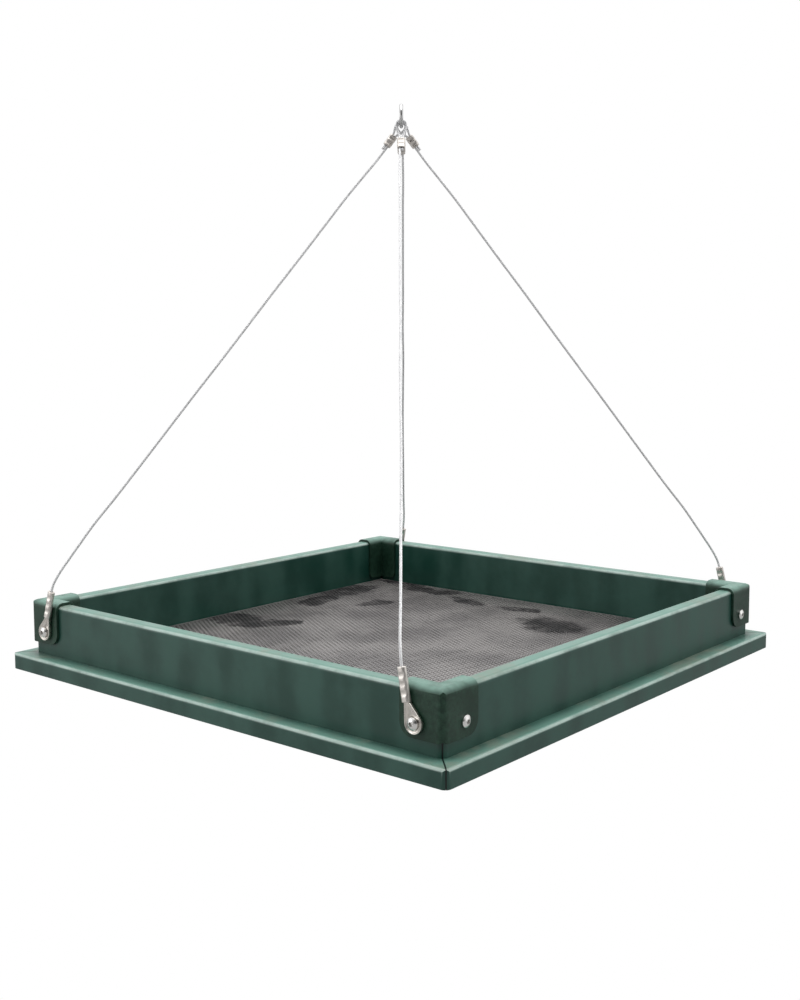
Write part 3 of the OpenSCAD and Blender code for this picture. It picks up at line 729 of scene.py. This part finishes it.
def make_floor():
    x0, y0 = SHEET_LOW[0], SHEET_LOW[1]
    x1, y1 = SHEET_HIGH[0], SHEET_HIGH[1]
    margin = SHEET_MARGIN
    even_rows = 2 * STRIPS
    rows = int((x1 - x0 - 2 * margin) / ROW_PITCH) // even_rows * even_rows
    holes = int((y1 - y0 - 2 * margin) / HOLE_PITCH_Y - 0.5)
    field_x, field_y = rows * ROW_PITCH / 2, (holes + 0.5) * HOLE_PITCH_Y / 2
    half_x, half_y = ROW_PITCH / 2, HOLE_PITCH_Y / 2
    per_strip = rows // STRIPS
    for strip in range(STRIPS):
        sheet = SheetMaker()
        first_row = strip * per_strip
        for row in range(first_row, first_row + per_strip):
            x = -field_x + (row + 0.5) * ROW_PITCH
            shifted = row % 2
            start = -field_y + half_y * (1 + shifted)
            for k in range(holes):
                spots = [sheet.at(px, py) for px, py in cell(x, start + k * HOLE_PITCH_Y)]
                edge, hole = spots[:6], spots[6:]
                for a, b, h0, h1, h2 in EDGE_OF_SECTOR:
                    sheet.flat.append([edge[a], edge[b], hole[h0], hole[h1], hole[h2]])
            low, high = (-field_y, -field_y + half_y) if shifted else (field_y - half_y, field_y)
            sheet.flat.append([sheet.at(x - half_x, low), sheet.at(x + half_x, low),
                               sheet.at(x + half_x, high), sheet.at(x - half_x, high)])
            for outer, inner in ((y0, -field_y), (y1, field_y)):
                quad = [sheet.at(x - half_x, outer), sheet.at(x + half_x, outer),
                        sheet.at(x + half_x, inner), sheet.at(x - half_x, inner)]
                sheet.flat.append(quad if outer < inner else quad[::-1])
        for last, outer, edge_x in ((strip == 0, x0, -field_x), (strip == STRIPS - 1, x1, field_x)):
            if last:
                steps = [y0] + [-field_y + k * half_y for k in range(2 * holes + 2)] + [y1]
                for low, high in zip(steps, steps[1:]):
                    quad = [sheet.at(outer, low), sheet.at(edge_x, low),
                            sheet.at(edge_x, high), sheet.at(outer, high)]
                    sheet.flat.append(quad if outer < edge_x else quad[::-1])
        points, faces = sheet.solid(SHEET_LOW[2], SHEET_HIGH[2])
        piece = add_piece(f"perforated_sheet_{strip + 1}", points, faces, MATERIALS["sheet"],
                          "floor", smooth=False)
        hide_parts("floor_sheet")


make_floor()

# ---------------------------------------------------------------- finish on the CAD nodes


BOARD_EDGE, CAP_EDGE, SCREW_EDGE = 0.5 * MM, 0.35 * MM, 0.15 * MM


def dress(node, material, edge, edge_angle=35):
    """Gives a CAD node its material and softly broken edges, where it turns by more than
    edge_angle degrees."""
    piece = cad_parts[node]
    piece.data.materials.clear()
    piece.data.materials.append(material)
    weld = piece.modifiers.new("weld", "WELD")
    weld.merge_threshold = 0.001 * MM
    plain = piece.modifiers.new("plain", "DECIMATE")
    plain.decimate_type = "DISSOLVE"
    plain.angle_limit = math.radians(1)
    bevel = piece.modifiers.new("edges", "BEVEL")
    bevel.width = edge
    bevel.segments = 3
    bevel.limit_method = "ANGLE"
    bevel.angle_limit = math.radians(edge_angle)
    even = piece.modifiers.new("flat_faces", "WEIGHTED_NORMAL")
    even.weight = 100


for side in SIDES:
    board = MATERIALS["lumber_x" if side in ("south", "north") else "lumber_y"]
    dress("rail_" + side, board, BOARD_EDGE)
    dress("wall_" + side, board, BOARD_EDGE)
for corner_name in ROPES:
    dress("cap_" + corner_name, MATERIALS["cap"], CAP_EDGE)
for screws in ("lug_screws", "cap_screws", "base_screws", "lug_washers"):
    dress(screws, MATERIALS["screw"], SCREW_EDGE, edge_angle=50)

# ---------------------------------------------------------------- floor, backdrop and light

GROUND_DROP = 0.55                     # how far the studio floor lies below the tray
GROUND_HALF = 40.0                     # half its side
FLOOR_LIT = (0.34, 0.34, 0.34)         # what it throws back on the tray
WORLD_BRIGHT, WORLD_DIM = 0.85, 0.06   # light from behind the tray and from the camera's side
OVERHEAD = 2.2                         # light from above
OVERHEAD_SPREAD = math.radians(80)


def make_ground():
    """A pale floor that shows as white, but throws back only part of the light."""
    mesh = bpy.data.meshes.new("studio_floor")
    z = BASE_LOW[2] - GROUND_DROP
    signs = ((-1, -1), (1, -1), (1, 1), (-1, 1))
    mesh.from_pydata([(x * GROUND_HALF, y * GROUND_HALF, z) for x, y in signs], [], [(0, 1, 2, 3)])
    m = Material("studio_floor", FLOOR_LIT, 0.9, Specular_IOR_Level=0.0)
    white = m.node("Emission")
    white.inputs["Color"].default_value = WHITE
    shown = m.tree.nodes.new("ShaderNodeMixShader")
    m.tree.links.new(m.node("LightPath").outputs["Is Camera Ray"], shown.inputs[0])
    m.tree.links.new(m.shader.outputs[0], shown.inputs[1])
    m.tree.links.new(white.outputs[0], shown.inputs[2])
    m.tree.links.new(shown.outputs[0], m.tree.nodes["Material Output"].inputs["Surface"])
    mesh.materials.append(m.made)
    ground = bpy.data.objects.new("studio_floor", mesh)
    bpy.context.scene.collection.objects.link(ground)


def make_world():
    """White light from all round, dimmer from behind the camera; the camera sees plain white."""
    world = bpy.data.worlds.new("studio")
    world.use_nodes = True
    tree = world.node_tree
    new, link = tree.nodes.new, tree.links.new
    around = tree.nodes["Background"]
    place = new("ShaderNodeTexCoord")
    facing = new("ShaderNodeVectorMath")
    facing.operation = "DOT_PRODUCT"
    facing.inputs[1].default_value = backwards(CAMERA_AT[0], 5)
    link(place.outputs["Generated"], facing.inputs[0])
    share = new("ShaderNodeMapRange")
    share.interpolation_type = "SMOOTHSTEP"
    for socket, number in (("From Min", 0.35), ("From Max", 0.95),
                           ("To Min", WORLD_BRIGHT), ("To Max", WORLD_DIM)):
        share.inputs[socket].default_value = number
    link(facing.outputs["Value"], share.inputs["Value"])
    link(share.outputs["Result"], around.inputs["Strength"])
    around.inputs["Color"].default_value = WHITE
    seen = new("ShaderNodeBackground")
    seen.inputs["Color"].default_value = WHITE
    pick = new("ShaderNodeMixShader")
    link(new("ShaderNodeLightPath").outputs["Is Camera Ray"], pick.inputs[0])
    link(around.outputs[0], pick.inputs[1])
    link(seen.outputs[0], pick.inputs[2])
    link(pick.outputs[0], tree.nodes["World Output"].inputs["Surface"])
    bpy.context.scene.world = world


def make_sun():
    """A very wide, soft light from above."""
    data = bpy.data.lights.new("overhead", "SUN")
    data.energy = OVERHEAD
    data.angle = OVERHEAD_SPREAD
    light = bpy.data.objects.new("overhead", data)
    bpy.context.scene.collection.objects.link(light)


def softbox(name, azimuth, elevation, away, size, watts):
    """A square area light at that direction from the tray, facing it."""
    data = bpy.data.lights.new(name, "AREA")
    data.size = size
    data.energy = watts
    light = bpy.data.objects.new(name, data)
    bpy.context.scene.collection.objects.link(light)
    back = backwards(azimuth, elevation)
    light.location = Vector(BASE_CENTRE) + back * away
    light.rotation_euler = (-back).to_track_quat("-Z", "Y").to_euler()


make_ground()
make_world()
make_sun()
softbox("side_left", -38, 12, 2.0, 1.2, 5)
softbox("side_right", 118, 12, 2.0, 1.2, 1)

scene = bpy.context.scene
scene.view_settings.view_transform = "Standard"
scene.view_settings.look = "None"
